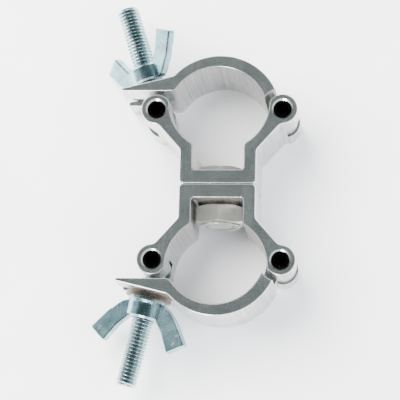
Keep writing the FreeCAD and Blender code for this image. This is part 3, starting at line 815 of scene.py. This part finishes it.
class ThreadSurface:
    """A helical thread as Geometry Nodes: a grid wrapped round Y and pressed into a helix."""

    INPUTS = ("Radius", "Pitch", "Depth", "Chamfer", "Start", "End")

    def __init__(self, form: ThreadForm) -> None:
        """Remembers the thread.

        Args:
            form: The thread's sizes.
        """
        self.form = form

    def tree(self, rows: int, material: bpy.types.Material) -> bpy.types.NodeTree:
        """Builds the node group.

        Args:
            rows: The number of rows along the axis.
            material: The material set on the result.

        Returns:
            The node group.
        """
        group = bpy.data.node_groups.new("thread_surface", "GeometryNodeTree")
        for name in self.INPUTS:
            group.interface.new_socket(name, in_out="INPUT", socket_type="NodeSocketFloat")
        group.interface.new_socket("Geometry", in_out="OUTPUT", socket_type="NodeSocketGeometry")
        given = add_node(group, "NodeGroupInput").outputs
        grid = add_node(
            group,
            "GeometryNodeMeshGrid",
            values={
                "Size X": 1.0,
                "Size Y": 1.0,
                "Vertices X": self.form.around + 1,
                "Vertices Y": rows,
            },
        )
        place = add_node(
            group,
            "ShaderNodeSeparateXYZ",
            links={"Vector": add_node(group, "GeometryNodeInputPosition").outputs[0]},
        )
        share_round = math_node(group, "ADD", place.outputs["X"], 0.5)
        share_along = math_node(group, "ADD", place.outputs["Y"], 0.5)
        length = math_node(group, "SUBTRACT", given["End"], given["Start"])
        height = math_node(group, "MULTIPLY_ADD", share_along, length, given["Start"])
        angle = math_node(group, "MULTIPLY", share_round, 2.0 * math.pi)
        turns = math_node(
            group, "SUBTRACT", math_node(group, "DIVIDE", height, given["Pitch"]), share_round
        )
        phase = math_node(group, "FRACT", turns)
        # A triangle wave whose tips are cut flat gives the crest and the root of the thread.
        wave = math_node(
            group, "ABSOLUTE", math_node(group, "MULTIPLY_ADD", phase, 2.0, -1.0)
        )
        cut = add_node(
            group,
            "ShaderNodeMapRange",
            values={"From Min": self.form.crest, "From Max": self.form.root},
            links={"Value": wave},
        ).outputs[0]
        threaded = math_node(
            group,
            "SUBTRACT",
            given["Radius"],
            math_node(group, "MULTIPLY", cut, given["Depth"]),
        )
        to_end = math_node(group, "SUBTRACT", given["End"], height)
        cone = math_node(
            group,
            "ADD",
            math_node(group, "SUBTRACT", given["Radius"], given["Chamfer"]),
            to_end,
        )
        from_start = math_node(group, "SUBTRACT", height, given["Start"])
        run_in = math_node(
            group,
            "ADD",
            math_node(group, "SUBTRACT", given["Radius"], given["Depth"]),
            from_start,
        )
        radius = math_node(
            group, "MINIMUM", math_node(group, "MINIMUM", threaded, cone), run_in
        )
        wrapped = add_node(
            group,
            "ShaderNodeCombineXYZ",
            links={
                "X": math_node(group, "MULTIPLY", radius, math_node(group, "COSINE", angle)),
                "Y": height,
                "Z": math_node(group, "MULTIPLY", radius, math_node(group, "SINE", angle)),
            },
        )
        moved = add_node(
            group,
            "GeometryNodeSetPosition",
            links={"Geometry": grid.outputs["Mesh"], "Position": wrapped.outputs[0]},
        )
        joined = add_node(
            group,
            "GeometryNodeMergeByDistance",
            values={"Distance": 1e-6},
            links={"Geometry": moved.outputs[0]},
        )
        real = add_node(
            group, "GeometryNodeRealizeInstances", links={"Geometry": joined.outputs[0]}
        )
        dressed = add_node(
            group,
            "GeometryNodeSetMaterial",
            values={"Material": material},
            links={"Geometry": real.outputs[0]},
        )
        add_node(group, "NodeGroupOutput", links={0: dressed.outputs[0]})
        return group

    def build(self, start: float, end: float, material: bpy.types.Material) -> bpy.types.Mesh:
        """Builds a plain mesh of the thread along Y, closed at both ends.

        Args:
            start: Where the thread starts, in mm.
            end: Where the screw ends, in mm.
            material: The material set on the result.

        Returns:
            The mesh, in metres.
        """
        form = self.form
        rows = int(round((end - start) / form.pitch * form.rows_per_pitch)) + 1
        group = self.tree(rows, material)
        sizes = dict(zip(self.INPUTS, (
            form.radius * MM, form.pitch * MM, form.depth * MM, form.chamfer * MM,
            start * MM, end * MM,
        )))
        carrier = bpy.data.objects.new("thread_carrier", bpy.data.meshes.new("thread_carrier"))
        bpy.context.scene.collection.objects.link(carrier)
        modifier = carrier.modifiers.new("thread", "NODES")
        modifier.node_group = group
        for item in group.interface.items_tree:
            if item.item_type == "SOCKET" and item.in_out == "INPUT":
                modifier[item.identifier] = sizes[item.name]
        bpy.context.view_layer.update()
        seen = carrier.evaluated_get(bpy.context.evaluated_depsgraph_get())
        result = bpy.data.meshes.new_from_object(seen)
        bpy.data.objects.remove(carrier)
        mesh = bmesh.new()
        mesh.from_mesh(result)
        open_edges = [edge for edge in mesh.edges if edge.is_boundary]
        bmesh.ops.holes_fill(mesh, edges=open_edges, sides=0)
        bmesh.ops.recalc_face_normals(mesh, faces=mesh.faces)
        mesh.to_mesh(result)
        mesh.free()
        return result


# ------------------------------------------------------------------------------ sub-assemblies


@dataclass
class SwingBolt:
    """One swinging eyebolt: a round eye on its pin and a threaded shank, in mm."""

    clamp: Clamp
    paints: Paintbox
    eye_radius: float = 4.6
    eye_hole: float = 3.05
    eye_width: float = 8.4
    eye_hole_round: float = 0.3
    eye_rim_round: float = 0.5
    shank_radius: float = 3.9
    shank_sink: float = 0.2
    shank_end_taper: float = 0.4
    thread_overlap: float = 0.3
    thread_start: float = 8.0
    length: float = 43.3
    form: ThreadForm = field(default_factory=ThreadForm)
    # The eyebolt's zinc gets a strong painted shade in its thread roots.
    finish: ZincPlate = ZincPlate(name="zinc_plate_bolt", bright="#c3e2e7", shaded="#93b8bf",
                                 crevice_shade_strength=0.75)

    def placement(self) -> Matrix:
        """Gives the bolt's place.

        Returns:
            The matrix that stands the Y axis along the leaning bolt.
        """
        pin = Vector(joint_record(f"swing_{self.clamp.value}")["pos_m"])
        along = Vector(joint_record(f"washer_slide_{self.clamp.value}")["axis"])
        depth = Vector((0.0, 0.0, 1.0))
        across = along.cross(depth)
        turn = Matrix((across, along, depth)).transposed().to_4x4()
        return Matrix.Translation(pin) @ turn

    def eye(self) -> bmesh.types.BMesh:
        """Builds the eye.

        Returns:
            A ring about the pin, along Z.
        """
        half = self.eye_width / 2.0
        ring = revolve(
            rounded((
                (self.eye_hole, -half, self.eye_hole_round),
                (self.eye_radius, -half, self.eye_rim_round),
                (self.eye_radius, half, self.eye_rim_round),
                (self.eye_hole, half, self.eye_hole_round),
            )),
            ROUND_STEPS,
        )
        ring.transform(Matrix.Rotation(math.radians(90.0), 4, "X"))
        return ring

    def shank(self) -> bmesh.types.BMesh:
        """Builds the plain part of the shank, from inside the eye to the thread.

        Returns:
            A stub along Y.
        """
        root = self.form.radius - self.form.depth
        bottom = self.eye_hole + self.shank_sink
        top = self.thread_start + self.thread_overlap
        return revolve(
            (
                (0.0, bottom),
                (self.shank_radius - self.shank_sink, bottom),
                (self.shank_radius, self.eye_radius),
                (self.shank_radius, self.thread_start - self.shank_end_taper),
                (root, top),
                (0.0, top),
            ),
            ROUND_STEPS,
        )

    def build(self) -> bpy.types.Object:
        """Builds, dresses and mounts the eyebolt.

        Returns:
            The finished piece.
        """
        material = self.paints.get(self.finish)
        whole = bmesh.new()
        for part in (self.eye(), self.shank()):
            scratch = bpy.data.meshes.new("scratch")
            part.to_mesh(scratch)
            part.free()
            whole.from_mesh(scratch)
            bpy.data.meshes.remove(scratch)
        whole.from_mesh(ThreadSurface(self.form).build(self.thread_start, self.length, material))
        whole.transform(self.placement())
        bmesh.ops.recalc_face_normals(whole, faces=whole.faces)
        piece = to_object(whole, f"threaded_eyebolt_{self.clamp.value}")
        piece.data.materials.clear()
        piece.data.materials.append(material)
        for face in piece.data.polygons:
            face.material_index = 0
        smooth_by_angle(piece, 32.0)
        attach(piece, f"swing_bolt_{self.clamp.value}")
        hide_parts(f"eyebolt_{self.clamp.value}")
        LOG.info("built %s: %d faces", piece.name, len(piece.data.polygons))
        return piece


@dataclass
class ClampSide:
    """One clamp: its saddle and jaw, its pins, washer and wing nut."""

    clamp: Clamp
    paints: Paintbox
    body: Aluminium = Aluminium()
    pins: BlackOxide = BlackOxide()
    washer: WasherSteel = WasherSteel()
    nut: ZincPlate = ZincPlate(name="zinc_plate_nut")

    def build(self) -> None:
        """Dresses the clamp's CAD pieces."""
        side = self.clamp.value
        for stem, finish in (
            ("saddle", self.body),
            ("jaw", self.body),
            ("hinge_pin", self.pins),
            ("eyebolt_pin", self.pins),
            ("eyebolt_washer", self.washer),
            ("wing_nut", self.nut),
        ):
            self.paints.paint(f"{stem}_{side}", finish)


@dataclass
class SwivelJoint:
    """The bolt, washer and lock nut that hold the two clamps together."""

    paints: Paintbox
    # The bright steel gets a light painted shade in its thread roots and corners.
    steel: ZincPlate = ZincPlate(name="zinc_plate_bright", bright="#fbfbf8", shaded="#ebe8e0", crevice_shade_strength=0.2,
                                 rough_low=0.24, rough_high=0.36)
    washer: WasherSteel = WasherSteel()
    ring: Nylon = Nylon()

    def build(self) -> None:
        """Dresses the joint's CAD pieces."""
        for node, finish in (
            ("swivel_bolt", self.steel),
            ("lock_nut", self.steel),
            ("swivel_nut_washer", self.washer),
            ("lock_nut_insert", self.ring),
        ):
            self.paints.paint(node, finish)


# -------------------------------------------------------------------------------------- studio


@dataclass(frozen=True)
class SoftBox:
    """One soft light, aimed at the middle of the clamp."""

    name: str
    azimuth: float
    elevation: float
    distance: float
    size: float
    watts: float
    colour: str
    mirrored: bool


@dataclass
class Studio:
    """The pale floor, the soft lights and the camera."""

    paints: Paintbox
    floor_height: float = -15.35
    floor_size: float = 4.0
    target: Tuple[float, float, float] = (-7.401, -31.874, 0.207)
    azimuth: float = 26.47
    elevation: float = 76.487
    roll: float = 1.4986
    distance: float = 578.19
    lens: float = 147.593
    walls: str = "#f2f6f7"
    ceiling: str = "#5d6667"
    room_strength: float = 1.3
    boxes: Tuple[SoftBox, ...] = (
        SoftBox("key", -125.0, 50.0, 1000.0, 1100.0, 72.0, "#fffdf8", False),
        SoftBox("fill", 60.0, 50.0, 1100.0, 1100.0, 30.0, "#f4f8ff", False),
        SoftBox("front", -20.0, 16.0, 1100.0, 500.0, 9.0, "#ffffff", True),
    )

    def direction(self, azimuth: float, elevation: float) -> Vector:
        """Gives a direction as seen from the clamp.

        Args:
            azimuth: Degrees from -Y towards +X.
            elevation: Degrees above the floor.

        Returns:
            The unit vector towards it.
        """
        turn = math.radians(azimuth)
        rise = math.radians(elevation)
        return Vector((
            math.sin(turn) * math.cos(rise),
            -math.cos(turn) * math.cos(rise),
            math.sin(rise),
        ))

    def build_floor(self) -> None:
        """Lays the floor just under the clamp."""
        mesh = bmesh.new()
        bmesh.ops.create_grid(mesh, x_segments=1, y_segments=1, size=self.floor_size / 2.0)
        bmesh.ops.translate(mesh, verts=mesh.verts, vec=(0.0, 0.0, self.floor_height * MM))
        floor = to_object(mesh, "studio_floor")
        floor.data.materials.append(self.paints.get(PaleCard()))

    def build_world(self) -> None:
        """Fills the room: pale walls all round and a dark ceiling for the flat metal to mirror."""
        world = bpy.data.worlds.new("studio_room")
        world.use_nodes = True
        tree = world.node_tree
        tree.nodes.clear()
        where = add_node(tree, "ShaderNodeTexCoord")
        parts = add_node(
            tree, "ShaderNodeSeparateXYZ", links={"Vector": where.outputs["Generated"]}
        )
        height = add_node(
            tree,
            "ShaderNodeMapRange",
            settings={"interpolation_type": "SMOOTHSTEP"},
            values={"From Min": 0.5, "From Max": 0.88},
            links={"Value": parts.outputs["Z"]},
        )
        tone = mix_colours(tree, height.outputs[0], linear(self.walls), linear(self.ceiling))
        room = add_node(
            tree,
            "ShaderNodeBackground",
            values={"Strength": self.room_strength},
            links={"Color": tone},
        )
        add_node(tree, "ShaderNodeOutputWorld", links={"Surface": room.outputs[0]})
        bpy.context.scene.world = world

    def build_lights(self) -> None:
        """Hangs the soft boxes."""
        target = Vector(self.target) * MM
        for box in self.boxes:
            data = bpy.data.lights.new(box.name, "AREA")
            data.shape = "DISK"
            data.size = box.size * MM
            data.energy = box.watts
            data.color = linear(box.colour)[:3]
            lamp = bpy.data.objects.new(box.name, data)
            # The boxes over the floor are hidden from the metal, which mirrors the room instead.
            lamp.visible_glossy = box.mirrored
            towards = self.direction(box.azimuth, box.elevation)
            lamp.location = target + towards * box.distance * MM
            lamp.rotation_euler = towards.to_track_quat("Z", "Y").to_euler()
            bpy.context.scene.collection.objects.link(lamp)

    def build_camera(self) -> None:
        """Sets the camera above the clamp, looking down across it."""
        back = self.direction(self.azimuth, self.elevation)
        # Upright means that +Y points up the picture, as nearly as the view allows.
        upright = Vector((0.0, 1.0, 0.0))
        up = (upright - back * upright.dot(back)).normalized()
        right = up.cross(back)
        turn = Matrix((right, up, back)).transposed()
        turn = turn @ Matrix.Rotation(math.radians(self.roll), 3, "Z")
        data = bpy.data.cameras.new("camera")
        data.lens = self.lens
        data.sensor_width = 36.0
        data.clip_start = 0.01
        camera = bpy.data.objects.new("camera", data)
        camera.location = (Vector(self.target) + back * self.distance) * MM
        camera.rotation_euler = turn.to_euler()
        bpy.context.scene.collection.objects.link(camera)
        bpy.context.scene.camera = camera

    def build(self) -> None:
        """Builds the studio."""
        self.build_floor()
        self.build_world()
        self.build_lights()
        self.build_camera()
        LOG.info("built the studio: %d lights", len(self.boxes))


def main() -> None:
    """Builds the clamp's pieces in order, then the studio."""
    logging.basicConfig(level=logging.INFO, format="%(message)s")
    paints = Paintbox()
    ClampSide(Clamp.A, paints).build()
    ClampSide(Clamp.B, paints).build()
    SwivelJoint(paints).build()
    SwingBolt(Clamp.A, paints).build()
    SwingBolt(Clamp.B, paints).build()
    Studio(paints).build()


if __name__ == "__main__":
    main()
